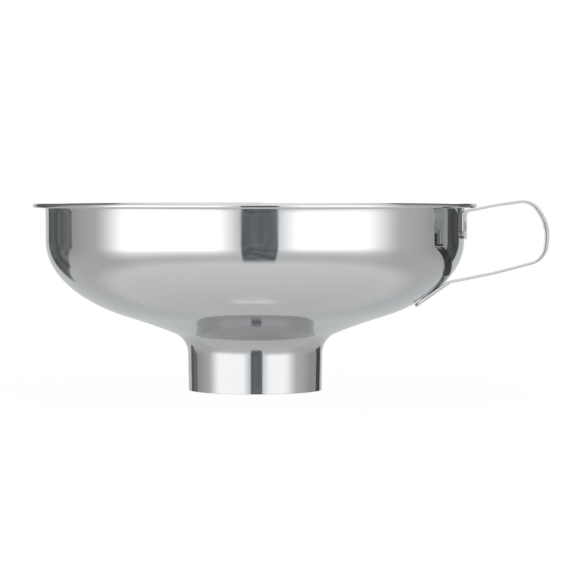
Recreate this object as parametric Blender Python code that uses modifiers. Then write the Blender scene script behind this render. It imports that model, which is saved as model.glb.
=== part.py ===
"""Canning funnel: a spun stainless bowl with a short spout, a hemmed rim and a bent strap handle.

The funnel stands on its spout, with +Z up, and the handle points along +X. The origin lies on the
plane of the spout's end, half way along the overall length and the width, so the funnel's own axis
stands a little way along -X. Run this script in Blender to build the model.
"""

import math

import bmesh
import bpy

MM = 0.001
COLLECTION = "canning_funnel"

# Spun bowl: radii of its outer surface and heights above the spout's end
SHEET = 0.6 * MM
RIM_RADIUS = 70.0 * MM
RIM_HEIGHT = 59.0 * MM
WALL_RADIUS = 66.0 * MM
SPOUT_RADIUS = 21.25 * MM
SPOUT_END_RADIUS = 21.05 * MM
SPOUT_END_LAND = 1.5 * MM
SPOUT_LENGTH = 11.6 * MM
NECK_RADIUS = 7.0 * MM
NECK_SLOPE = math.radians(22.0)
FLANK_SLOPE = math.radians(17.0)
BOWL_WIDTH = 51.0 * MM
BOWL_DEPTH = 27.5 * MM
FACETS = 64

# Hemmed rim: the sheet turns out of the wall and folds back under itself
HEM_SLIT = 0.2 * MM
HEM_END_RADIUS = 67.0 * MM
RIM_CORNER = 0.5 * MM

# Strap handle: heights above the spout's end, distances from the funnel's axis
STRAP_WIDTH = 12.5 * MM
STRAP_THICKNESS = 0.8 * MM
STRAP_EDGE_BEVEL = 0.2 * MM
STRAP_CORNER = 3.0 * MM
STRAP_COLUMNS = 4
GAP = 0.3 * MM
UPPER_TAB_END = 47.9 * MM
UPPER_BEND_HEIGHT = 56.4 * MM
LOWER_TAB_CONTACT = 55.5 * MM
LOWER_TAB_TIP = 5.4 * MM
LOWER_TAB_BEND = 7.8 * MM
TAB_BEND_RADIUS = 1.6 * MM
LOWER_BEND_RADIUS = 4.0 * MM
FLATTEN_LENGTH = 5.0 * MM

# Corners of the loop between the two tabs: distance from the axis, height and bend radius
LOOP_CORNERS = [
    (76.0 * MM, 58.5 * MM, 70.0 * MM),
    (87.1 * MM, 60.05 * MM, 5.4 * MM),
    (92.5 * MM, 52.7 * MM, 13.5 * MM),
    (91.4 * MM, 41.8 * MM, 6.0 * MM),
    (76.0 * MM, 37.8 * MM, 80.0 * MM),
]

# Spot welds: two side by side on each tab
WELD_RADIUS = 1.8 * MM
WELD_CLEARANCE = 0.15 * MM
WELD_DISH = 0.1 * MM
WELD_SPACING = 6.2 * MM
UPPER_WELD_HEIGHT = 51.8 * MM

STEEL_COLOUR = (0.78, 0.78, 0.78, 1.0)
WELD_COLOUR = (0.62, 0.61, 0.60, 1.0)


def clear_scene():
    for obj in list(bpy.data.objects):
        bpy.data.objects.remove(obj, do_unlink=True)


def new_collection(name):
    collection = bpy.data.collections.new(name)
    bpy.context.scene.collection.children.link(collection)
    return collection


def steel(name, colour, roughness):
    material = bpy.data.materials.new(name)
    material.use_nodes = True
    shader = material.node_tree.nodes["Principled BSDF"]
    shader.inputs["Base Color"].default_value = colour
    shader.inputs["Metallic"].default_value = 1.0
    shader.inputs["Roughness"].default_value = roughness
    return material


def arc(centre, radius, start, end, count):
    """Points of an arc in the (r, z) plane, both ends included; angles in degrees."""
    points = []
    for i in range(count + 1):
        angle = math.radians(start + (end - start) * i / count)
        points.append((centre[0] + radius * math.cos(angle), centre[1] + radius * math.sin(angle)))
    return points


def offset_left(points, distance):
    """The polyline moved sideways to its left, with mitred corners and square ends."""
    moved = []
    for i, (x, z) in enumerate(points):
        before = points[max(i - 1, 0)]
        after = points[min(i + 1, len(points) - 1)]
        directions = []
        for a, b in ((before, (x, z)), ((x, z), after)):
            length = math.dist(a, b)
            if length > 0:
                directions.append(((b[0] - a[0]) / length, (b[1] - a[1]) / length))
        first, last = directions[0], directions[-1]
        normal = (-first[1] - last[1], first[0] + last[0])
        scale = 2 * distance / (normal[0] ** 2 + normal[1] ** 2)
        moved.append((x + normal[0] * scale, z + normal[1] * scale))
    return moved


def bowl_angle(slope):
    """The ellipse's parameter where the bowl leans by this slope from the horizontal."""
    return math.atan2(BOWL_DEPTH, BOWL_WIDTH * math.tan(slope))


def bowl_point(angle, start_height):
    """A point of the bowl's outer surface, a quarter ellipse that ends in the upright wall."""
    r = WALL_RADIUS - BOWL_WIDTH + BOWL_WIDTH * math.cos(angle)
    return r, start_height - BOWL_DEPTH * math.sin(angle)


def neck_end():
    """Where the neck's fillet meets the flank."""
    r = SPOUT_RADIUS + NECK_RADIUS * (1 - math.sin(NECK_SLOPE))
    return r, SPOUT_LENGTH + NECK_RADIUS * math.cos(NECK_SLOPE)


def flank_radius():
    """The hollow flank's radius, which joins the neck to the bowl without a crease."""
    bowl_r, _ = bowl_point(bowl_angle(FLANK_SLOPE), 0.0)
    return (bowl_r - neck_end()[0]) / (math.sin(NECK_SLOPE) - math.sin(FLANK_SLOPE))


def bowl_start_height():
    """The height where the bowl turns into the upright wall."""
    rise = flank_radius() * (math.cos(FLANK_SLOPE) - math.cos(NECK_SLOPE))
    return neck_end()[1] + rise + BOWL_DEPTH * math.sin(bowl_angle(FLANK_SLOPE))


def outer_surface():
    """The sheet's outer side from the spout's end up the wall and into the hem, as (r, z) points."""
    points = [(SPOUT_END_RADIUS, 0.0), (SPOUT_END_RADIUS, SPOUT_END_LAND)]
    neck_centre = (SPOUT_RADIUS + NECK_RADIUS, SPOUT_LENGTH)
    neck_slope = math.degrees(NECK_SLOPE)
    flank_slope = math.degrees(FLANK_SLOPE)
    points += arc(neck_centre, NECK_RADIUS, 180, 90 + neck_slope, 6)

    radius = flank_radius()
    end_r, end_z = neck_end()
    centre = (end_r + radius * math.sin(NECK_SLOPE), end_z - radius * math.cos(NECK_SLOPE))
    points += arc(centre, radius, 90 + neck_slope, 90 + flank_slope, 3)[1:-1]

    lowest = bowl_angle(FLANK_SLOPE)
    steps = 12
    for i in range(steps + 1):
        points.append(bowl_point(lowest * (1 - i / steps), bowl_start_height()))

    under = RIM_HEIGHT - SHEET
    points += arc((WALL_RADIUS + RIM_CORNER, under - RIM_CORNER), RIM_CORNER, 180, 90, 3)
    fold = HEM_SLIT / 2
    fold_centre = (RIM_RADIUS - SHEET - fold, under - fold)
    points += arc(fold_centre, fold, 90, -90, 6)
    points.append((HEM_END_RADIUS, under - HEM_SLIT))
    return points


def finish(obj, collection, material, parent):
    """Give an object its collection, material, parent and smooth shading with crisp edges."""
    collection.objects.link(obj)
    obj.parent = parent
    obj.data.materials.append(material)
    obj.data.shade_smooth()
    obj.data.set_sharp_from_angle(angle=math.radians(30))


def make_body(collection, material, parent):
    outer = outer_surface()
    outline = outer[::-1] + offset_left(outer, SHEET)
    count = len(outline)
    edges = [(i, (i + 1) % count) for i in range(count)]
    mesh = bpy.data.meshes.new("funnel_body")
    mesh.from_pydata([(r, 0.0, z) for r, z in outline], edges, [])
    body = bpy.data.objects.new("funnel_body", mesh)
    turn = body.modifiers.new("Turn", "SCREW")
    turn.axis = "Z"
    turn.angle = 2 * math.pi
    turn.steps = FACETS
    turn.render_steps = FACETS
    turn.merge_threshold = 0.0001 * MM
    turn.use_smooth_shade = True
    finish(body, collection, material, parent)


def round_corners(corners):
    """Turn (u, z, bend radius) corners into a path of straights and arcs, as (u, z) points."""
    path = [corners[0][:2]]
    for before, corner, after in zip(corners, corners[1:], corners[2:]):
        u, z, radius = corner
        heading_in = math.atan2(z - before[1], u - before[0])
        heading_out = math.atan2(after[1] - z, after[0] - u)
        turn = (heading_out - heading_in + math.pi) % (2 * math.pi) - math.pi
        tangent = radius * math.tan(abs(turn) / 2)
        start_u = u - tangent * math.cos(heading_in)
        start_z = z - tangent * math.sin(heading_in)
        side = math.copysign(math.pi / 2, turn)
        centre_u = start_u + radius * math.cos(heading_in + side)
        centre_z = start_z + radius * math.sin(heading_in + side)
        first = math.degrees(heading_in - side)
        count = max(2, round(abs(math.degrees(turn)) / 9))
        path += arc((centre_u, centre_z), radius, first, first + math.degrees(turn), count)
    path.append(corners[-1][:2])
    return path


def lower_tab_frame():
    """Contact point of the lower tab on the bowl, and the bowl's slope there."""
    angle = math.acos((LOWER_TAB_CONTACT - WALL_RADIUS + BOWL_WIDTH) / BOWL_WIDTH)
    slope = math.atan2(BOWL_DEPTH * math.cos(angle), BOWL_WIDTH * math.sin(angle))
    r, z = bowl_point(angle, bowl_start_height())
    return r, z, slope


def lower_tab_point(along, away):
    """A point beside the bowl: so far up the slope from the contact, and so far out of the sheet."""
    r, z, slope = lower_tab_frame()
    u = r + along * math.cos(slope) + away * math.sin(slope)
    return u, z + along * math.sin(slope) - away * math.cos(slope)


def strap_path():
    """The strap's centre line from the upper tab's end round the loop to the lower tab's tip."""
    middle = GAP + STRAP_THICKNESS / 2
    tab_u = WALL_RADIUS + middle
    bend_u, bend_z = lower_tab_point(LOWER_TAB_BEND, middle)
    corners = [(tab_u, UPPER_TAB_END, 0.0)]
    corners.append((tab_u, UPPER_BEND_HEIGHT, TAB_BEND_RADIUS))
    corners += LOOP_CORNERS
    corners.append((bend_u, bend_z, LOWER_BEND_RADIUS))
    corners.append((*lower_tab_point(-LOWER_TAB_TIP, middle), 0.0))
    return round_corners(corners)


def axis_offset():
    """The funnel axis's x: the overall length, from the rim to the loop's end, has its middle at 0."""
    reach = max(u for u, _ in strap_path()) + STRAP_THICKNESS / 2
    return (RIM_RADIUS - reach) / 2


def with_stations(path, distances):
    """Add points to the path at these distances from its start and from its end."""
    lengths = [0.0]
    for a, b in zip(path, path[1:]):
        lengths.append(lengths[-1] + math.dist(a, b))
    total = lengths[-1]
    wanted = sorted(set(distances) | {total - d for d in distances})
    stations = list(zip(lengths, path))
    for s in wanted:
        for i in range(len(path) - 1):
            if lengths[i] < s < lengths[i + 1]:
                share = (s - lengths[i]) / (lengths[i + 1] - lengths[i])
                u = path[i][0] + share * (path[i + 1][0] - path[i][0])
                z = path[i][1] + share * (path[i + 1][1] - path[i][1])
                stations.append((s, (u, z)))
    return sorted(stations), total


def half_width(from_end):
    """Half the strap's width, which shrinks in the rounded corners of its ends."""
    half = STRAP_WIDTH / 2
    if from_end >= STRAP_CORNER:
        return half
    return half - STRAP_CORNER + math.sqrt(STRAP_CORNER**2 - (STRAP_CORNER - from_end) ** 2)


def wrap_share(from_end, tab_length):
    """How far the strap curves across to fit the bowl: fully on a tab, not at all on the loop."""
    return min(1.0, max(0.0, 1 - (from_end - tab_length) / FLATTEN_LENGTH))


def strap_mesh():
    """The strap's middle surface: a grid laid along the path, curved across where it hugs the bowl."""
    corner_steps = [STRAP_CORNER * share for share in (0.1, 0.3, 0.6, 1.0)]
    upper_tab = UPPER_BEND_HEIGHT - UPPER_TAB_END
    lower_tab = LOWER_TAB_TIP + LOWER_TAB_BEND
    stations, total = with_stations(strap_path(), corner_steps)
    mesh = bpy.data.meshes.new("handle_strap")
    grid = bmesh.new()
    rows = len(stations) - 1
    bmesh.ops.create_grid(grid, x_segments=rows, y_segments=STRAP_COLUMNS, size=1.0)
    for vertex in grid.verts:
        row = round((vertex.co.x + 1) / 2 * rows)
        s, (u, z) = stations[row]
        v = vertex.co.y * half_width(min(s, total - s))
        wrap = max(wrap_share(s, upper_tab), wrap_share(total - s, lower_tab))
        vertex.co = (u + wrap * (math.sqrt(u**2 - v**2) - u), v, z)
    grid.to_mesh(mesh)
    grid.free()
    return mesh


def make_strap(collection, material, parent, cutters):
    strap = bpy.data.objects.new("handle_strap", strap_mesh())
    solidify = strap.modifiers.new("Thickness", "SOLIDIFY")
    solidify.thickness = STRAP_THICKNESS
    solidify.offset = 0.0
    solidify.use_even_offset = True
    bevel = strap.modifiers.new("Rounded edges", "BEVEL")
    bevel.width = STRAP_EDGE_BEVEL
    bevel.segments = 2
    bevel.limit_method = "ANGLE"
    bevel.angle_limit = math.radians(60)
    for cutter in cutters:
        cut = strap.modifiers.new("Weld hole", "BOOLEAN")
        cut.operation = "DIFFERENCE"
        cut.solver = "EXACT"
        cut.object = cutter
    finish(strap, collection, material, parent)


def weld_places():
    """Each spot weld's name, its point on the bowl's outer surface and the tilt of its axis."""
    low_r, low_z, slope = lower_tab_frame()
    rows = [
        ("upper", WALL_RADIUS, UPPER_WELD_HEIGHT, math.radians(90)),
        ("lower", low_r, low_z, math.pi - slope),
    ]
    for row, r, z, tilt in rows:
        for side, sign in (("right", -1), ("left", 1)):
            azimuth = sign * math.asin(WELD_SPACING / 2 / r)
            yield f"spot_weld_{row}_{side}", r, z, tilt, azimuth


def plug(name, radius, low, high, place, parent):
    """A cylinder on a weld's axis, reaching from low to high above the bowl's surface."""
    r, z, tilt, azimuth = place
    mesh = bpy.data.meshes.new(name)
    shape = bmesh.new()
    bmesh.ops.create_cone(
        shape, cap_ends=True, segments=24, radius1=radius, radius2=radius, depth=high - low
    )
    bmesh.ops.translate(shape, verts=shape.verts, vec=(0.0, 0.0, (low + high) / 2))
    shape.to_mesh(mesh)
    shape.free()
    obj = bpy.data.objects.new(name, mesh)
    obj.location = (r * math.cos(azimuth), r * math.sin(azimuth), z)
    obj.rotation_euler = (0.0, tilt, azimuth)
    obj.parent = parent
    return obj


def make_welds(collection, cutter_collection, material, parent):
    """Weld nuggets that sit in holes of the strap; returns the cutters of those holes."""
    cutters = []
    outer_face = GAP + STRAP_THICKNESS
    for name, *place in weld_places():
        nugget = plug(name, WELD_RADIUS, WELD_CLEARANCE, outer_face - WELD_DISH, place, parent)
        finish(nugget, collection, material, parent)
        hole_radius = WELD_RADIUS + WELD_CLEARANCE
        cutter = plug(f"{name}_hole", hole_radius, 0.0, 2 * outer_face, place, parent)
        cutter.hide_render = True
        cutter.display_type = "WIRE"
        cutter_collection.objects.link(cutter)
        cutters.append(cutter)
    return cutters


def main():
    clear_scene()
    parts = new_collection(COLLECTION)
    cutter_collection = new_collection("cutters")
    axis = bpy.data.objects.new("funnel_axis", None)
    axis.location = (axis_offset(), 0.0, 0.0)
    parts.objects.link(axis)
    make_body(parts, steel("funnel_body", STEEL_COLOUR, 0.08), axis)
    weld_steel = steel("spot_weld", WELD_COLOUR, 0.3)
    cutters = make_welds(parts, cutter_collection, weld_steel, axis)
    make_strap(parts, steel("handle_strap", STEEL_COLOUR, 0.1), axis, cutters)


main()
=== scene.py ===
"""Looks of the canning funnel: polished sheet, strap handle and weld marks in a white studio.

Every size is in metres. The funnel stands on its spout, its axis parallel to Z, and its handle points
along +X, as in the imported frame. Radii are measured from the funnel's axis and heights from the
spout's end. The bowl, the strap and the weld marks stand for the plainer CAD solids.
"""

import math

import bmesh
import bpy
from mathutils import Matrix, Vector


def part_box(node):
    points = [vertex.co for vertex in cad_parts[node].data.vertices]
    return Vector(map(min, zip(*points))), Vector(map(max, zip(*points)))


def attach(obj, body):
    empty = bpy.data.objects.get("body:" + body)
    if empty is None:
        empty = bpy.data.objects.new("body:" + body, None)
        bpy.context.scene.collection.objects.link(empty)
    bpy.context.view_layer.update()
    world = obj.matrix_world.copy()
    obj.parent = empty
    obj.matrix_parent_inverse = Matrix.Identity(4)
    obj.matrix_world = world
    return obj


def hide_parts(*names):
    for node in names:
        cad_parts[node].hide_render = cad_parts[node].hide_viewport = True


MM = 0.001

# Spun sheet
SHEET = 0.6 * MM
BOX_MARGIN = 0.03 * MM
WALL_INSET = 4.0 * MM
SPOUT_INSET = 48.75 * MM
SPOUT_TAPER = 0.2 * MM
SPOUT_LENGTH = 11.6 * MM
SPOUT_LAND = 1.5 * MM
SPOUT_LIP = 0.12 * MM
NECK_RADIUS = 7.0 * MM
NECK_SLOPE = math.radians(22.0)
FLANK_SLOPE = math.radians(17.0)
BOWL_WIDTH = 51.0 * MM
BOWL_DEPTH = 27.5 * MM
RIM_CORNER = 0.5 * MM
FLARE_RADIUS = 12.0 * MM
FLARE_ANGLE = math.radians(12.0)
HEM_SLIT = 0.2 * MM
HEM_WIDTH = 3.0 * MM
TURNS = 256

# Strap
STRAP_WIDTH = 12.5 * MM
STRAP_THICKNESS = 0.8 * MM
STRAP_EDGE = 0.2 * MM
STRAP_CORNER = 3.0 * MM
HAIR_GAP = 0.06 * MM
UPPER_TAB_LENGTH = 8.5 * MM
UPPER_BEND_BELOW_RIM = 2.6 * MM
TAB_BEND_RADIUS = 1.6 * MM
LOWER_TAB_CONTACT_INSET = 10.5 * MM
LOWER_TAB_TIP = 5.4 * MM
LOWER_TAB_BEND = 7.8 * MM
LOWER_BEND_RADIUS = 4.0 * MM
FLATTEN_LENGTH = 5.0 * MM

# Mesh steps of the strap: the longest one along it, degrees of bend, and columns across it
STRAP_STEP = 0.4 * MM
BEND_STEP = 2.5
STRAP_COLUMNS = 32

# Corners of the loop: distance in from the loop's end, distance below its top, bend radius
LOOP_CORNERS = [
    (16.0 * MM, 1.2 * MM, 70.0 * MM),
    (4.95 * MM, -0.35 * MM, 5.4 * MM),
    (-0.45 * MM, 7.0 * MM, 13.5 * MM),
    (0.6 * MM, 18.1 * MM, 6.0 * MM),
    (16.0 * MM, 22.2 * MM, 80.0 * MM),
]

# Weld marks: a disc of fused metal at the bottom of a dimple in the strap
WELD_RADIUS = 1.8 * MM
WELD_DEPTH = 0.14 * MM
WELD_TURNS = 48
UPPER_WELD_DROP = 0.35 * MM
DIMPLE_EDGE = (0.8 * WELD_RADIUS, 1.25 * WELD_RADIUS)

# The disc's top: the height of its middle, and its rings as shares of the radius with their heights
CROWN_HEIGHT = 0.05 * MM
WELD_RINGS = [
    (0.45, 0.045 * MM),
    (0.75, 0.03 * MM),
    (0.88, 0.055 * MM),
    (0.97, 0.03 * MM),
    (1.0, -0.1 * MM),
]

# Camera: a long lens, a little above the rim, with the handle turned towards it
HANDLE_TURN = math.radians(9.2)
CAMERA_DISTANCE = 838.0 * MM
CAMERA_RIGHT = 10.4 * MM
CAMERA_ABOVE_RIM = 3.3 * MM
CAMERA_PITCH = math.radians(2.056)
CAMERA_LENS = 165.6

# Light runs round the inside of the bowl in many small mirror steps before it leaves
MIRROR_BOUNCES = 24

# The light tent: a dome round the funnel that only the steel sees. Azimuths are in degrees to the
# right of the camera, elevations in degrees, and a pair of angles is where light fades in or out
TENT_RADIUS = 220.0 * MM
TENT_HEIGHT = 45.0 * MM

# Each panel's outer side on the tent, and its inner side and bottom by the ray's direction
PANELS = [
    ((-84.0, -58.0), (-2.2, -23.0), (-31.0, -9.0)),
    ((77.0, 47.0), (4.5, 28.5), (-28.0, -5.0)),
]
PANEL_TOP = (35.0, 55.0)
PANEL_LIGHT = 2.0

# The panels are dimmer at their foot, by elevation on the tent
PANEL_FOOT = (-15.0, -7.0)
FOOT_LIGHT = 0.8

# The room round the panels, its lower part and its ceiling; both parts are darker at the sides
ROOM_LIGHT = 0.68
SIDE_LIGHT = 0.44
SIDE_FADE = (75.0, 112.0)
LOWER_LIGHT = 0.78
LOWER_SIDE_LIGHT = 0.64
LOWER_FADE = (-26.0, -3.0)
LOWER_SIDE_FADE = (50.0, 85.0)
CEILING_LIGHT = 1.3
CEILING_BOTTOM = (46.0, 51.0)

# Dark shapes far outside the tent: left and right sides, bottom, whether it slants, and their light
DARK_SHAPES = [
    ((-173.0, -170.0), (-118.5, -117.0), (-22.0, -19.0), True, (0.22, 0.225, 0.225)),
    ((-173.0, -170.0), (-137.0, -134.0), (-22.0, -19.0), True, (0.14, 0.145, 0.145)),
    ((-7.2, -6.2), (12.4, 13.4), (-62.0, -58.0), False, (0.18, 0.2, 0.22)),
    ((130.2, 131.2), (170.0, 173.0), (-18.0, -14.0), False, (0.1, 0.105, 0.105)),
]
DARK_TOP = CEILING_BOTTOM

# Their mottle: how far it goes either way, and its noise over the angles in degrees
DARK_MOTTLE = 0.25
MOTTLE_SCALE = 0.12
MOTTLE_RANGE = (0.3, 0.7)

# The slanting bottom starts at this azimuth and elevation, and falls to the left of it
SLANT_AZIMUTH = -118.0
SLANT_START = (-8.0, -4.0)
SLANT = 0.85

# The white backdrop: where its left side stands on the tent, and its right side and top far outside
BACKDROP_LEFT = (-138.0, -137.0)
BACKDROP_RIGHT = (150.0, 151.0)
BACKDROP_TOP = (9.0, 14.0)
BACKDROP_MIDDLE = (166.0, 177.0)
BACKDROP_HORIZON = (-7.0, -1.0)
BACKDROP_LIGHT = (0.67, 0.95)
BACKDROP_TINT = (0.95, 0.99, 1.0)

# The floor: its own light, how far the camera sees it as plain white, and the angles from the
# horizontal over which the steel stops seeing past it to the tent
FLOOR_RADIUS = 1.5
FLOOR_GLOW = 0.4
FLOOR_WHITE = 0.6
FLOOR_ROUGHNESS = 0.9
FLOOR_EXPOSURE = 0.95
FLOOR_MIRROR_FADE = (32.0, 46.0)

# Painted light on the floor in place of the spout's caustic: a faint bright arc in front of the spout,
# with a dimmer glow
# beyond the arc: distances towards the camera, half width at the arc, how fast the glow narrows, and
# their light
ARC_START = (37.5 * MM, 41.0 * MM)
ARC_END = (42.5 * MM, 45.0 * MM)
ARC_HALF_WIDTH = (7.0 * MM, 10.5 * MM)
GLOW_TAPER = 0.75
ARC_LIGHT = 0.21
GLOW_LIGHT = 0.06

WHITE = (1.0, 1.0, 1.0, 1.0)

# Steel colours
STEEL = (0.56, 0.565, 0.57, 1.0)
SMUDGED_STEEL = (0.53, 0.54, 0.545, 1.0)
SHEARED_STEEL = (0.42, 0.425, 0.43, 1.0)
WELD_GREY = (0.5, 0.5, 0.5, 1.0)
WELD_STRAW = (0.47, 0.43, 0.37, 1.0)

# Polish: the roughness of clean steel and what lines, smudges, scratches and sheared edges add to it
POLISH_ROUGHNESS = 0.03
LINE_ROUGHNESS = 0.045
SMUDGE_ROUGHNESS = 0.03
SCRATCH_ROUGHNESS = 0.05
EDGE_ROUGHNESS = 0.1
SMUDGE_SHARE = 0.35

# Polishing lines: their noise scale per metre, how slowly they change along themselves on the bowl
# and on the strap, and the patches over which they grow from half to full depth
LINE_SCALE = 2600.0
LINE_STRETCH = 0.0015
STRAP_LINE_STRETCH = (0.03, 1.0, 0.03)
LINE_RANGE = (0.35, 0.65)
LINE_SHARE = (0.5, 1.0)

# Patches, smudges and scratches: noise scales per metre, the scratches' turn, and where they fade in
PATCH_SCALE = 55.0
SMUDGE_RANGE = (0.52, 0.72)
SCRATCH_TURN = (0.5, 0.3, 0.9)
SCRATCH_STRETCH = (30.0, 1400.0, 60.0)
SCRATCH_RANGE = (0.68, 0.74)

# How far the surface faces sideways where a sheared edge fades in
SHEARED_RANGE = (0.6, 0.9)

# Fused metal: its grain, its roughness and what the grain adds, and where the heat tint starts
GRAIN_SCALE = 1800.0
WELD_ROUGHNESS = 0.15
GRAIN_ROUGHNESS = 0.2
TINT_START = 0.55 * WELD_RADIUS

# Bumps: strength and height
LINE_BUMP = (0.25, 0.001 * MM)
GRAIN_BUMP = (0.6, 0.02 * MM)


# --- Geometry helpers ---


def arc(centre, radius, start, end, count):
    """Points of an arc in the (r, z) plane, both ends included; angles in degrees."""
    points = []
    for i in range(count + 1):
        angle = math.radians(start + (end - start) * i / count)
        points.append((centre[0] + radius * math.cos(angle), centre[1] + radius * math.sin(angle)))
    return points


def line(start, end, count):
    """Points from start to end, with both ends included."""
    points = []
    for i in range(count + 1):
        share = i / count
        points.append(tuple(a + share * (b - a) for a, b in zip(start, end)))
    return points


def offset_left(points, distance):
    """The polyline moved sideways to its left, with mitred corners."""
    moved = []
    for i, (x, z) in enumerate(points):
        before = points[max(i - 1, 0)]
        after = points[min(i + 1, len(points) - 1)]
        directions = []
        for a, b in ((before, (x, z)), ((x, z), after)):
            length = math.dist(a, b)
            if length > 0:
                directions.append(((b[0] - a[0]) / length, (b[1] - a[1]) / length))
        first, last = directions[0], directions[-1]
        normal = (-first[1] - last[1], first[0] + last[0])
        scale = 2 * distance / (normal[0] ** 2 + normal[1] ** 2)
        moved.append((x + normal[0] * scale, z + normal[1] * scale))
    return moved


def smooth_share(value, low, high):
    """0 below low, 1 above high, and a smooth step between them."""
    t = min(1.0, max(0.0, (value - low) / (high - low)))
    return t * t * (3 - 2 * t)


def show_piece(obj, material, node):
    """Give a piece its material, and let it ride on the body in place of its CAD node."""
    bpy.context.scene.collection.objects.link(obj)
    obj.data.materials.append(material)
    obj.data.shade_smooth()
    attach(obj, "root")
    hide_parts(node)


# --- The spun bowl ---


class Sheet:
    """The bowl's section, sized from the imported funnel_body."""

    def __init__(self, low, high):
        self.axis = Vector(((low.x + high.x) / 2, (low.y + high.y) / 2, 0.0))
        self.rim_radius = (high.y - low.y) / 2 - BOX_MARGIN
        self.rim_height = high.z
        self.wall_radius = self.rim_radius - WALL_INSET
        self.spout_radius = self.rim_radius - SPOUT_INSET

    def neck_end(self):
        """Where the neck's fillet meets the flank."""
        r = self.spout_radius + NECK_RADIUS * (1 - math.sin(NECK_SLOPE))
        return r, SPOUT_LENGTH + NECK_RADIUS * math.cos(NECK_SLOPE)

    def bowl_angle(self, slope):
        """The ellipse's parameter where the bowl leans by this slope from the horizontal."""
        return math.atan2(BOWL_DEPTH, BOWL_WIDTH * math.tan(slope))

    def flank_radius(self):
        """The hollow flank's radius, which joins the neck to the bowl without a crease."""
        lowest = self.bowl_angle(FLANK_SLOPE)
        bowl_r = self.wall_radius - BOWL_WIDTH * (1 - math.cos(lowest))
        return (bowl_r - self.neck_end()[0]) / (math.sin(NECK_SLOPE) - math.sin(FLANK_SLOPE))

    def bowl_point(self, angle):
        """A point of the bowl's outer surface, a quarter ellipse that ends in the upright wall."""
        rise = self.flank_radius() * (math.cos(FLANK_SLOPE) - math.cos(NECK_SLOPE))
        lowest = self.bowl_angle(FLANK_SLOPE)
        start = self.neck_end()[1] + rise + BOWL_DEPTH * math.sin(lowest)
        r = self.wall_radius - BOWL_WIDTH * (1 - math.cos(angle))
        return r, start - BOWL_DEPTH * math.sin(angle)

    def spout_side(self):
        """The spout's outer side, from its rounded lip up to the neck."""
        end_radius = self.spout_radius - SPOUT_TAPER
        lip = arc((end_radius - SPOUT_LIP, SPOUT_LIP), SPOUT_LIP, -60, 0, 5)
        land = line((end_radius, SPOUT_LIP), (end_radius, SPOUT_LAND), 2)
        taper = line((end_radius, SPOUT_LAND), (self.spout_radius, SPOUT_LENGTH), 10)
        return lip + land[1:] + taper[1:-1]

    def flank_side(self):
        """The neck's fillet and the hollow flank above it."""
        neck_slope = math.degrees(NECK_SLOPE)
        neck_centre = (self.spout_radius + NECK_RADIUS, SPOUT_LENGTH)
        neck = arc(neck_centre, NECK_RADIUS, 180, 90 + neck_slope, 24)
        radius = self.flank_radius()
        end_r, end_z = self.neck_end()
        centre = (end_r + radius * math.sin(NECK_SLOPE), end_z - radius * math.cos(NECK_SLOPE))
        flank = arc(centre, radius, 90 + neck_slope, 90 + math.degrees(FLANK_SLOPE), 14)
        return neck + flank[1:-1]

    def bowl_side(self):
        """The bowl's ellipse, from the flank to the foot of the wall."""
        lowest = self.bowl_angle(FLANK_SLOPE)
        steps = 70
        return [self.bowl_point(lowest * (1 - i / steps)) for i in range(steps + 1)]

    def wall_side(self, foot):
        """The wall above its foot, its slight flare and the corner under the rim."""
        under = self.rim_height - SHEET
        flare_out = FLARE_RADIUS * (1 - math.cos(FLARE_ANGLE))
        corner_drop = RIM_CORNER * (1 - math.sin(FLARE_ANGLE))
        flare_start = under - corner_drop - FLARE_RADIUS * math.sin(FLARE_ANGLE)
        flare_centre = (self.wall_radius + FLARE_RADIUS, flare_start)
        flare_end = 180 - math.degrees(FLARE_ANGLE)
        flare = arc(flare_centre, FLARE_RADIUS, 180, flare_end, 10)
        corner_r = self.wall_radius + flare_out + RIM_CORNER * math.cos(FLARE_ANGLE)
        corner = arc((corner_r, under - RIM_CORNER), RIM_CORNER, flare_end, 90, 8)
        return line(foot, flare[0], 8)[1:-1] + flare + corner[1:]

    def hem_side(self, corner_end):
        """The rim's underside beyond the corner, folded back under itself."""
        under = self.rim_height - SHEET
        fold = HEM_SLIT / 2
        fold_centre = (self.rim_radius - SHEET - fold, under - fold)
        rim = line(corner_end, (fold_centre[0], under), 3)
        bend = arc(fold_centre, fold, 90, -90, 16)
        hem_end = (self.rim_radius - HEM_WIDTH, under - HEM_SLIT)
        return rim[1:-1] + bend + line(bend[-1], hem_end, 3)[1:]

    def outer_side(self):
        """The sheet's outer side from the spout's lip up the wall and into the hem."""
        points = self.spout_side() + self.flank_side() + self.bowl_side()
        points += self.wall_side(points[-1])
        return points + self.hem_side(points[-1])

    def outline(self):
        """The closed section, down the outer side and back up the inner side."""
        outer = self.outer_side()
        return outer[::-1] + offset_left(outer, SHEET)


def make_bowl(sheet, material):
    outline = sheet.outline()
    count = len(outline)
    verts = []
    faces = []
    for turn in range(TURNS):
        azimuth = 2 * math.pi * turn / TURNS
        for r, z in outline:
            verts.append((r * math.cos(azimuth), r * math.sin(azimuth), z))
        here = turn * count
        after = (turn + 1) % TURNS * count
        for i in range(count):
            j = (i + 1) % count
            faces.append((here + i, here + j, after + j, after + i))
    mesh = bpy.data.meshes.new("bowl_sheet")
    mesh.from_pydata(verts, [], faces)
    bowl = bpy.data.objects.new("bowl_sheet", mesh)
    bowl.location = sheet.axis
    show_piece(bowl, material, "funnel_body")


# --- The strap handle ---


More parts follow.
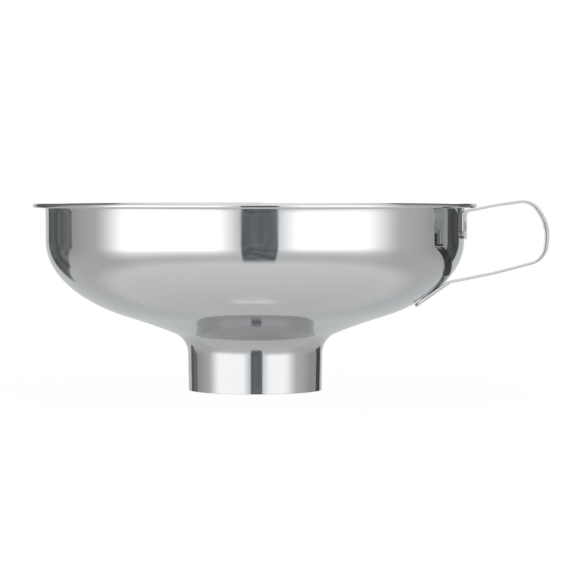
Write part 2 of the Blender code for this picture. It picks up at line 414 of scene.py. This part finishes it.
def round_corners(corners):
    """Turn (u, z, bend radius) corners into a path of straights and arcs, as (u, z) points."""
    path = [corners[0][:2]]
    for before, corner, after in zip(corners, corners[1:], corners[2:]):
        u, z, radius = corner
        heading_in = math.atan2(z - before[1], u - before[0])
        heading_out = math.atan2(after[1] - z, after[0] - u)
        turn = (heading_out - heading_in + math.pi) % (2 * math.pi) - math.pi
        tangent = radius * math.tan(abs(turn) / 2)
        start_u = u - tangent * math.cos(heading_in)
        start_z = z - tangent * math.sin(heading_in)
        side = math.copysign(math.pi / 2, turn)
        centre_u = start_u + radius * math.cos(heading_in + side)
        centre_z = start_z + radius * math.sin(heading_in + side)
        first = math.degrees(heading_in - side)
        count = max(4, round(abs(math.degrees(turn)) / BEND_STEP))
        path += arc((centre_u, centre_z), radius, first, first + math.degrees(turn), count)
    path.append(corners[-1][:2])
    return path


def resample(path, longest):
    """The path with its long straights cut into steps, and each point's distance along it."""
    points = [path[0]]
    for a, b in zip(path, path[1:]):
        count = max(1, math.ceil(math.dist(a, b) / longest))
        points += line(a, b, count)[1:]
    lengths = [0.0]
    for a, b in zip(points, points[1:]):
        lengths.append(lengths[-1] + math.dist(a, b))
    return points, lengths


class Strap:
    """The handle's centre line and its two tabs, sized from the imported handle_strap."""

    def __init__(self, sheet, low, high):
        self.sheet = sheet
        self.loop_end = high.x - sheet.axis.x - STRAP_THICKNESS / 2 - BOX_MARGIN
        self.loop_top = high.z - STRAP_THICKNESS / 2 - BOX_MARGIN
        contact = sheet.wall_radius - LOWER_TAB_CONTACT_INSET
        angle = math.acos(1 - (sheet.wall_radius - contact) / BOWL_WIDTH)
        self.contact = sheet.bowl_point(angle)
        self.slope = math.atan2(BOWL_DEPTH * math.cos(angle), BOWL_WIDTH * math.sin(angle))

    def lower_tab_point(self, along, away):
        """A point beside the bowl: so far up the slope, and so far out of the sheet."""
        u = self.contact[0] + along * math.cos(self.slope) + away * math.sin(self.slope)
        return u, self.contact[1] + along * math.sin(self.slope) - away * math.cos(self.slope)

    def path(self):
        middle = HAIR_GAP + STRAP_THICKNESS / 2
        tab_u = self.sheet.wall_radius + middle
        bend_z = self.sheet.rim_height - UPPER_BEND_BELOW_RIM
        corners = [(tab_u, bend_z - UPPER_TAB_LENGTH, 0.0), (tab_u, bend_z, TAB_BEND_RADIUS)]
        for inset, drop, radius in LOOP_CORNERS:
            corners.append((self.loop_end - inset, self.loop_top - drop, radius))
        corners.append((*self.lower_tab_point(LOWER_TAB_BEND, middle), LOWER_BEND_RADIUS))
        corners.append((*self.lower_tab_point(-LOWER_TAB_TIP, middle), 0.0))
        return round_corners(corners)

    def welds(self):
        """Each weld's node, its place on the bowl's outer surface and its outward axis."""
        bend_z = self.sheet.rim_height - UPPER_BEND_BELOW_RIM
        upper_z = bend_z - UPPER_TAB_LENGTH / 2 - UPPER_WELD_DROP
        rows = [
            ("upper", self.sheet.wall_radius, upper_z, 0.0),
            ("lower", *self.contact, math.pi / 2 - self.slope),
        ]
        for row, r, z, down in rows:
            for side in ("right", "left"):
                node = f"spot_weld_{row}_{side}"
                low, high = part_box(node)
                across = (low.y + high.y) / 2
                azimuth = math.asin(across / r)
                place = Vector((r * math.cos(azimuth), across, z))
                axis = Vector((math.cos(azimuth), math.sin(azimuth), 0.0)) * math.cos(down)
                axis.z = -math.sin(down)
                yield node, place, axis


def half_width(from_end):
    """Half the strap's width, which shrinks in the rounded corners of its ends."""
    half = STRAP_WIDTH / 2
    if from_end >= STRAP_CORNER:
        return half
    return half - STRAP_CORNER + math.sqrt(STRAP_CORNER**2 - (STRAP_CORNER - from_end) ** 2)


def strap_ribbon(strap):
    """The strap's middle surface, a grid along the path that is curved where it hugs the bowl."""
    stations, lengths = resample(strap.path(), STRAP_STEP)
    total = lengths[-1]
    rows = len(stations) - 1
    ribbon = bmesh.new()
    bmesh.ops.create_grid(ribbon, x_segments=rows, y_segments=STRAP_COLUMNS, size=1.0)
    lower_tab = LOWER_TAB_TIP + LOWER_TAB_BEND
    for vertex in ribbon.verts:
        row = round((vertex.co.x + 1) / 2 * rows)
        u, z = stations[row]
        from_start, from_end = lengths[row], total - lengths[row]
        v = vertex.co.y * half_width(min(from_start, from_end))
        flat = min(
            smooth_share(from_start, UPPER_TAB_LENGTH, UPPER_TAB_LENGTH + FLATTEN_LENGTH),
            smooth_share(from_end, lower_tab, lower_tab + FLATTEN_LENGTH),
        )
        wrap = 1 - flat
        vertex.co = (u + wrap * (math.sqrt(u**2 - v**2) - u), v, z)
    mesh = bpy.data.meshes.new("strap_ribbon")
    ribbon.to_mesh(mesh)
    ribbon.free()
    return mesh


def applied(obj, name):
    """The object's mesh with its modifiers applied, as a new mesh."""
    bpy.context.scene.collection.objects.link(obj)
    graph = bpy.context.evaluated_depsgraph_get()
    mesh = bpy.data.meshes.new_from_object(obj.evaluated_get(graph))
    mesh.name = name
    bpy.data.objects.remove(obj)
    return mesh


def press_dimples(mesh, strap):
    """Press a shallow round dish into the strap's outer face over each weld."""
    middle = HAIR_GAP + STRAP_THICKNESS / 2
    for _, place, axis in strap.welds():
        for vertex in mesh.vertices:
            offset = vertex.co - place
            height = offset.dot(axis)
            across = (offset - axis * height).length
            if height > middle:
                share = 1 - smooth_share(across, *DIMPLE_EDGE)
                vertex.co -= axis * WELD_DEPTH * share


def make_strap(strap, material):
    ribbon = bpy.data.objects.new("strap_ribbon", strap_ribbon(strap))
    solidify = ribbon.modifiers.new("Thickness", "SOLIDIFY")
    solidify.thickness = STRAP_THICKNESS
    solidify.offset = 0.0
    solidify.use_even_offset = True
    bevel = ribbon.modifiers.new("Rounded edges", "BEVEL")
    bevel.width = STRAP_EDGE
    bevel.segments = 4
    bevel.limit_method = "ANGLE"
    bevel.angle_limit = math.radians(60)
    mesh = applied(ribbon, "strap_loop")
    press_dimples(mesh, strap)
    loop = bpy.data.objects.new("strap_loop", mesh)
    loop.location = strap.sheet.axis
    show_piece(loop, material, "handle_strap")


def weld_disc(name):
    """A crowned disc about Z, standing in its dimple, as a closed mesh."""
    floor = HAIR_GAP + STRAP_THICKNESS - WELD_DEPTH
    disc = bmesh.new()
    rings = []
    for share, rise in WELD_RINGS:
        radius = WELD_RADIUS * share
        ring = []
        for i in range(WELD_TURNS):
            angle = 2 * math.pi * i / WELD_TURNS
            place = (radius * math.cos(angle), radius * math.sin(angle), floor + rise)
            ring.append(disc.verts.new(place))
        rings.append(ring)
    crown = disc.verts.new((0.0, 0.0, floor + CROWN_HEIGHT))
    for i in range(WELD_TURNS):
        j = (i + 1) % WELD_TURNS
        disc.faces.new((crown, rings[0][i], rings[0][j]))
        for inner, outer in zip(rings, rings[1:]):
            disc.faces.new((inner[i], outer[i], outer[j], inner[j]))
    disc.faces.new(rings[-1][::-1])
    mesh = bpy.data.meshes.new(name)
    disc.to_mesh(mesh)
    disc.free()
    return mesh


def make_weld_marks(strap, material):
    for node, place, axis in strap.welds():
        mark = bpy.data.objects.new("mark_" + node, weld_disc(node))
        turn = axis.to_track_quat("Z", "Y").to_matrix().to_4x4()
        mark.matrix_world = Matrix.Translation(strap.sheet.axis + place) @ turn
        show_piece(mark, material, node)


# --- Shader helpers ---


def add_node(tree, kind, inputs=None, **settings):
    """A shader node with its settings, and its inputs set to values or linked to sockets."""
    node = tree.nodes.new(kind)
    for name, value in settings.items():
        setattr(node, name, value)
    for name, value in (inputs or {}).items():
        if isinstance(value, bpy.types.NodeSocket):
            tree.links.new(value, node.inputs[name])
        else:
            node.inputs[name].default_value = value
    return node


def calculate(tree, operation, *values):
    """The result of a Math node."""
    return add_node(tree, "ShaderNodeMath", dict(enumerate(values)), operation=operation).outputs[0]


def remap(tree, value, from_low, from_high, to_low, to_high):
    """A value moved smoothly from one range to another, and held at its ends."""
    inputs = {
        "Value": value,
        "From Min": from_low,
        "From Max": from_high,
        "To Min": to_low,
        "To Max": to_high,
    }
    node = add_node(tree, "ShaderNodeMapRange", inputs, interpolation_type="SMOOTHSTEP")
    return node.outputs["Result"]


def noise(tree, vector, scale, detail=2.0, roughness=0.5):
    inputs = {"Vector": vector, "Scale": scale, "Detail": detail, "Roughness": roughness}
    return add_node(tree, "ShaderNodeTexNoise", inputs).outputs["Fac"]


def scaled(tree, vector, factor):
    inputs = {0: vector, "Scale": factor}
    return add_node(tree, "ShaderNodeVectorMath", inputs, operation="SCALE").outputs["Vector"]


def object_place(tree):
    """The shaded point in its object's own coordinates."""
    return add_node(tree, "ShaderNodeTexCoord").outputs["Object"]


def separate(tree, vector):
    """The X, Y and Z of a vector."""
    return add_node(tree, "ShaderNodeSeparateXYZ", {"Vector": vector}).outputs


def distance_from_axis(tree, x, y):
    squares = [calculate(tree, "POWER", value, 2.0) for value in (x, y)]
    return calculate(tree, "SQRT", calculate(tree, "ADD", *squares))


def blend_colours(tree, share, first, second):
    inputs = {"Factor": share, 6: first, 7: second}
    return add_node(tree, "ShaderNodeMix", inputs, data_type="RGBA").outputs[2]


def blend(tree, share, first, second):
    """A blend of two numbers, or of sockets that carry one."""
    difference = calculate(tree, "SUBTRACT", second, first)
    return calculate(tree, "MULTIPLY_ADD", difference, share, first)


def between(tree, value, fade_in, fade_out):
    """1 from the end of fade_in to the start of fade_out, and 0 outside them."""
    rise = remap(tree, value, *fade_in, 0.0, 1.0)
    fall = remap(tree, value, *fade_out, 1.0, 0.0)
    return calculate(tree, "MULTIPLY", rise, fall)


def new_material(name):
    """A material, its node tree and its Principled shader."""
    material = bpy.data.materials.new(name)
    material.use_nodes = True
    return material, material.node_tree, material.node_tree.nodes["Principled BSDF"]


def set_metal(tree, shader, colour, roughness, height, bump):
    """Wire up bare metal whose surface rises and falls with the height value."""
    inputs = {"Height": height, "Strength": bump[0], "Distance": bump[1]}
    normal = add_node(tree, "ShaderNodeBump", inputs).outputs["Normal"]
    shader.inputs["Metallic"].default_value = 1.0
    tree.links.new(colour, shader.inputs["Base Color"])
    tree.links.new(roughness, shader.inputs["Roughness"])
    tree.links.new(normal, shader.inputs["Normal"])


# --- Materials ---


def scratch_share(tree, place):
    """Sparse hairlines, all in one slanting direction: 1 in a scratch and 0 beside it."""
    inputs = {"Vector": place, "Rotation": SCRATCH_TURN, "Scale": SCRATCH_STRETCH}
    stretched = add_node(tree, "ShaderNodeMapping", inputs).outputs["Vector"]
    return remap(tree, noise(tree, stretched, 1.0), *SCRATCH_RANGE, 0.0, 1.0)


def sheared_share(tree):
    """1 on the faces that look sideways, which are the strap's sheared edges, and 0 on the others."""
    normal = add_node(tree, "ShaderNodeTexCoord").outputs["Normal"]
    sideways = calculate(tree, "ABSOLUTE", separate(tree, normal)["Y"])
    return remap(tree, sideways, *SHEARED_RANGE, 0.0, 1.0)


def polished_steel(name, lines, sheared_edges=False):
    """Mirror-polished steel: faint polishing lines, sparse hairline scratches and smudges.

    lines takes the node tree and the place, and returns the vector that the polishing lines run
    across. Sheared edges are duller and rougher than the faces.
    """
    material, tree, shader = new_material(name)
    place = object_place(tree)
    fine = noise(tree, lines(tree, place), LINE_SCALE, detail=3.0, roughness=0.6)
    patches = noise(tree, place, PATCH_SCALE, detail=4.0, roughness=0.55)
    smudges = remap(tree, patches, *SMUDGE_RANGE, 0.0, 1.0)
    line_depth = calculate(tree, "MULTIPLY", fine, remap(tree, patches, *LINE_RANGE, *LINE_SHARE))
    scratches = scratch_share(tree, place)
    roughness = calculate(tree, "MULTIPLY_ADD", line_depth, LINE_ROUGHNESS, POLISH_ROUGHNESS)
    roughness = calculate(tree, "MULTIPLY_ADD", smudges, SMUDGE_ROUGHNESS, roughness)
    roughness = calculate(tree, "MULTIPLY_ADD", scratches, SCRATCH_ROUGHNESS, roughness)
    dulled = calculate(tree, "MULTIPLY", smudges, SMUDGE_SHARE)
    colour = blend_colours(tree, dulled, STEEL, SMUDGED_STEEL)
    if sheared_edges:
        edge = sheared_share(tree)
        colour = blend_colours(tree, edge, colour, SHEARED_STEEL)
        roughness = calculate(tree, "MULTIPLY_ADD", edge, EDGE_ROUGHNESS, roughness)
    set_metal(tree, shader, colour, roughness, fine, LINE_BUMP)
    return material


def turned_lines(tree, place):
    """A vector that changes across the bowl's turning lines and only slowly around them."""
    x, y, z = separate(tree, place)
    around = calculate(tree, "MULTIPLY", calculate(tree, "ARCTAN2", y, x), LINE_STRETCH)
    inputs = {"X": distance_from_axis(tree, x, y), "Y": z, "Z": around}
    return add_node(tree, "ShaderNodeCombineXYZ", inputs).outputs["Vector"]


def long_lines(tree, place):
    """A vector that changes across the strap and only slowly along it."""
    inputs = {"Vector": place, "Scale": STRAP_LINE_STRETCH}
    return add_node(tree, "ShaderNodeMapping", inputs).outputs["Vector"]


def weld_metal():
    """Fused metal: rougher than the sheet, with a straw heat tint towards its edge."""
    material, tree, shader = new_material("weld_metal")
    place = object_place(tree)
    x, y, _ = separate(tree, place)
    grain = noise(tree, place, GRAIN_SCALE, detail=3.0)
    edge = remap(tree, distance_from_axis(tree, x, y), TINT_START, WELD_RADIUS, 0.0, 1.0)
    colour = blend_colours(tree, edge, WELD_GREY, WELD_STRAW)
    roughness = calculate(tree, "MULTIPLY_ADD", grain, GRAIN_ROUGHNESS, WELD_ROUGHNESS)
    set_metal(tree, shader, colour, roughness, grain, GRAIN_BUMP)
    return material


# --- Studio ---


def angles(tree, vector):
    """The azimuth and the elevation of a vector in the tent's frame, in degrees."""
    unit = add_node(tree, "ShaderNodeVectorMath", {0: vector}, operation="NORMALIZE")
    x, y, z = separate(tree, unit.outputs["Vector"])
    azimuth = calculate(tree, "ARCTAN2", x, calculate(tree, "MULTIPLY", y, -1.0))
    elevation = calculate(tree, "ARCSINE", z)
    return calculate(tree, "DEGREES", azimuth), calculate(tree, "DEGREES", elevation)


def room_light(tree, near, far):
    """The grey room without its ceiling: darker at the sides, and lighter below."""
    aside = calculate(tree, "ABSOLUTE", near[0])
    upper = remap(tree, aside, *SIDE_FADE, ROOM_LIGHT, SIDE_LIGHT)
    lower = remap(tree, aside, *LOWER_SIDE_FADE, LOWER_LIGHT, LOWER_SIDE_LIGHT)
    return blend(tree, remap(tree, far[1], *LOWER_FADE, 0.0, 1.0), lower, upper)


def panel_light(tree, near, far):
    """Two soft white panels in the room, under a white ceiling."""
    azimuth, elevation = far
    light = room_light(tree, near, far)
    below_top = remap(tree, elevation, *PANEL_TOP, 1.0, 0.0)
    panel = remap(tree, near[1], *PANEL_FOOT, FOOT_LIGHT * PANEL_LIGHT, PANEL_LIGHT)
    for outer, inner, bottom in PANELS:
        share = remap(tree, near[0], *outer, 0.0, 1.0)
        share = calculate(tree, "MULTIPLY", share, remap(tree, azimuth, *inner, 0.0, 1.0))
        share = calculate(tree, "MULTIPLY", share, remap(tree, elevation, *bottom, 0.0, 1.0))
        light = blend(tree, calculate(tree, "MULTIPLY", share, below_top), light, panel)
    return blend(tree, remap(tree, elevation, *CEILING_BOTTOM, 0.0, 1.0), light, CEILING_LIGHT)


def add_dark_shapes(tree, far, light):
    azimuth, elevation = far
    inputs = {"X": azimuth, "Y": elevation}
    place = add_node(tree, "ShaderNodeCombineXYZ", inputs).outputs["Vector"]
    mottle = noise(tree, place, MOTTLE_SCALE)
    mottle = remap(tree, mottle, *MOTTLE_RANGE, 1.0 - DARK_MOTTLE, 1.0 + DARK_MOTTLE)
    fall = calculate(tree, "MULTIPLY", calculate(tree, "SUBTRACT", SLANT_AZIMUTH, azimuth), SLANT)
    slant = remap(tree, calculate(tree, "ADD", elevation, fall), *SLANT_START, 0.0, 1.0)
    for left, right, bottom, slanted, strength in DARK_SHAPES:
        wide = between(tree, azimuth, left, right)
        shape = calculate(tree, "MULTIPLY", wide, between(tree, elevation, bottom, DARK_TOP))
        if slanted:
            shape = calculate(tree, "MULTIPLY", shape, slant)
        light = blend_colours(tree, shape, light, scaled(tree, strength, mottle))
    return light


def add_backdrop(tree, near, far, light):
    """White behind the funnel: low at its sides, and full height and brightest in the middle."""
    azimuth, elevation = far
    left = remap(tree, near[0], *BACKDROP_LEFT, 1.0, 0.0)
    right = remap(tree, azimuth, *BACKDROP_RIGHT, 0.0, 1.0)
    middle = remap(tree, calculate(tree, "ABSOLUTE", azimuth), *BACKDROP_MIDDLE, 0.0, 1.0)
    low = calculate(tree, "MAXIMUM", middle, remap(tree, elevation, *BACKDROP_TOP, 1.0, 0.0))
    shape = calculate(tree, "MULTIPLY", calculate(tree, "MAXIMUM", left, right), low)
    above_horizon = remap(tree, elevation, *BACKDROP_HORIZON, 0.0, 1.0)
    bright = calculate(tree, "MULTIPLY", middle, above_horizon)
    backdrop = scaled(tree, BACKDROP_TINT, blend(tree, bright, *BACKDROP_LIGHT))
    return blend_colours(tree, shape, light, backdrop)


def tent_material():
    """Glowing cloth, whose light depends on the place on the tent and on the ray that meets it."""
    material = bpy.data.materials.new("tent_light")
    material.use_nodes = True
    tree = material.node_tree
    tree.nodes.clear()
    near = angles(tree, object_place(tree))
    incoming = add_node(tree, "ShaderNodeNewGeometry").outputs["Incoming"]
    inputs = {"Vector": scaled(tree, incoming, -1.0)}
    turn = {"convert_from": "WORLD", "convert_to": "OBJECT"}
    ray = add_node(tree, "ShaderNodeVectorTransform", inputs, **turn).outputs["Vector"]
    far = angles(tree, ray)
    light = add_dark_shapes(tree, far, panel_light(tree, near, far))
    light = add_backdrop(tree, near, far, light)
    emission = add_node(tree, "ShaderNodeEmission", {"Color": light})
    add_node(tree, "ShaderNodeOutputMaterial", {"Surface": emission.outputs["Emission"]})
    return material


def make_tent(sheet):
    """The studio's soft light, a mesh that near parts of the funnel mirror from where they are."""
    dome = bmesh.new()
    bmesh.ops.create_uvsphere(dome, u_segments=96, v_segments=48, radius=TENT_RADIUS)
    mesh = bpy.data.meshes.new("light_tent")
    dome.to_mesh(mesh)
    dome.free()
    mesh.materials.append(tent_material())
    tent = bpy.data.objects.new("light_tent", mesh)
    tent.location = sheet.axis + Vector((0.0, 0.0, TENT_HEIGHT))
    tent.rotation_euler = (0.0, 0.0, HANDLE_TURN)
    tent.visible_camera = False
    tent.visible_diffuse = False
    tent.visible_shadow = False
    bpy.context.scene.collection.objects.link(tent)


def white_world():
    """Plain white behind the funnel, which also lights the floor."""
    world = bpy.data.worlds.new("studio")
    bpy.context.scene.world = world
    world.use_nodes = True
    world.node_tree.nodes["Background"].inputs["Color"].default_value = WHITE


def painted_floor_arc(tree):
    """The painted light of the arc on the floor in front of the spout, in place of its caustic; -Y
    points to the camera.
    """
    x, y, _ = separate(tree, object_place(tree))
    towards = calculate(tree, "MULTIPLY", y, -1.0)
    beyond = calculate(tree, "MAXIMUM", calculate(tree, "SUBTRACT", towards, ARC_END[0]), 0.0)
    spread = calculate(tree, "MULTIPLY_ADD", beyond, GLOW_TAPER, calculate(tree, "ABSOLUTE", x))
    inside = remap(tree, spread, *ARC_HALF_WIDTH, 1.0, 0.0)
    inside = calculate(tree, "MULTIPLY", inside, remap(tree, towards, *ARC_START, 0.0, 1.0))
    light = remap(tree, towards, *ARC_END, ARC_LIGHT, GLOW_LIGHT)
    return calculate(tree, "MULTIPLY", inside, light)


def mix_shaders(tree, share, first, second):
    """A Mix Shader node; share is how much of the second shader shows."""
    inputs = {0: share, 1: first.outputs[0], 2: second.outputs[0]}
    return add_node(tree, "ShaderNodeMixShader", inputs)


def floor_material():
    """A pale floor, exposed nearly to white. At a low angle the steel sees past it to the tent."""
    material, tree, shader = new_material("pale_floor")
    shader.inputs["Base Color"].default_value = (*[FLOOR_WHITE] * 3, 1.0)
    shader.inputs["Roughness"].default_value = FLOOR_ROUGHNESS
    shader.inputs["Specular IOR Level"].default_value = 0.0
    shader.inputs["Emission Color"].default_value = WHITE
    # The floor's glow: an even glow over it, plus the painted arc of light in front of the spout
    glow = calculate(tree, "ADD", painted_floor_arc(tree), FLOOR_GLOW)
    tree.links.new(glow, shader.inputs["Emission Strength"])

    rays = add_node(tree, "ShaderNodeLightPath")
    white = add_node(tree, "ShaderNodeEmission", {"Color": WHITE, "Strength": 1.0})
    share = calculate(tree, "MULTIPLY", rays.outputs["Is Camera Ray"], FLOOR_EXPOSURE)
    exposed = mix_shaders(tree, share, shader, white)

    incoming = add_node(tree, "ShaderNodeNewGeometry").outputs["Incoming"]
    steepness = calculate(tree, "ABSOLUTE", separate(tree, incoming)["Z"])
    angle = calculate(tree, "DEGREES", calculate(tree, "ARCSINE", steepness))
    low = remap(tree, angle, *FLOOR_MIRROR_FADE, 1.0, 0.0)
    see_tent = calculate(tree, "MULTIPLY", low, rays.outputs["Is Glossy Ray"])
    clear = add_node(tree, "ShaderNodeBsdfTransparent")
    surface = mix_shaders(tree, see_tent, exposed, clear)
    output = tree.nodes["Material Output"].inputs["Surface"]
    tree.links.new(surface.outputs["Shader"], output)
    return material


def make_floor(sheet):
    top = bmesh.new()
    bmesh.ops.create_circle(top, cap_ends=True, segments=96, radius=FLOOR_RADIUS)
    mesh = bpy.data.meshes.new("floor")
    top.to_mesh(mesh)
    top.free()
    mesh.materials.append(floor_material())
    floor = bpy.data.objects.new("floor", mesh)
    floor.location = sheet.axis
    floor.rotation_euler = (0.0, 0.0, HANDLE_TURN)
    bpy.context.scene.collection.objects.link(floor)


def make_camera(sheet):
    right = Vector((math.cos(HANDLE_TURN), math.sin(HANDLE_TURN), 0.0))
    back = Vector((math.sin(HANDLE_TURN), -math.cos(HANDLE_TURN), 0.0))
    camera = bpy.data.objects.new("camera", bpy.data.cameras.new("camera"))
    camera.data.lens = CAMERA_LENS
    camera.data.clip_start = 0.01
    camera.location = sheet.axis + back * CAMERA_DISTANCE + right * CAMERA_RIGHT
    camera.location.z = sheet.rim_height + CAMERA_ABOVE_RIM
    camera.rotation_euler = (math.pi / 2 - CAMERA_PITCH, 0.0, HANDLE_TURN)
    bpy.context.scene.collection.objects.link(camera)
    bpy.context.scene.camera = camera


# --- Build ---

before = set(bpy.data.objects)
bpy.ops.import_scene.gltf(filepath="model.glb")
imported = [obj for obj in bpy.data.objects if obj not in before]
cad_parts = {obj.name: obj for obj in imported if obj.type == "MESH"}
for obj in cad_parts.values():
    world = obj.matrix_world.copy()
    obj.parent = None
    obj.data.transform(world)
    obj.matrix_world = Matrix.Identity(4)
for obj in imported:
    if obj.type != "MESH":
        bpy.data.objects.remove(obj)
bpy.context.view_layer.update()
bowl_section = Sheet(*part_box("funnel_body"))
handle = Strap(bowl_section, *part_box("handle_strap"))

make_bowl(bowl_section, polished_steel("polished_sheet", turned_lines))
make_strap(handle, polished_steel("polished_strap", long_lines, sheared_edges=True))
make_weld_marks(handle, weld_metal())
white_world()
make_tent(bowl_section)
make_floor(bowl_section)
make_camera(bowl_section)
bpy.context.scene.view_settings.view_transform = "Standard"
bpy.context.scene.cycles.max_bounces = MIRROR_BOUNCES
bpy.context.scene.cycles.glossy_bounces = MIRROR_BOUNCES
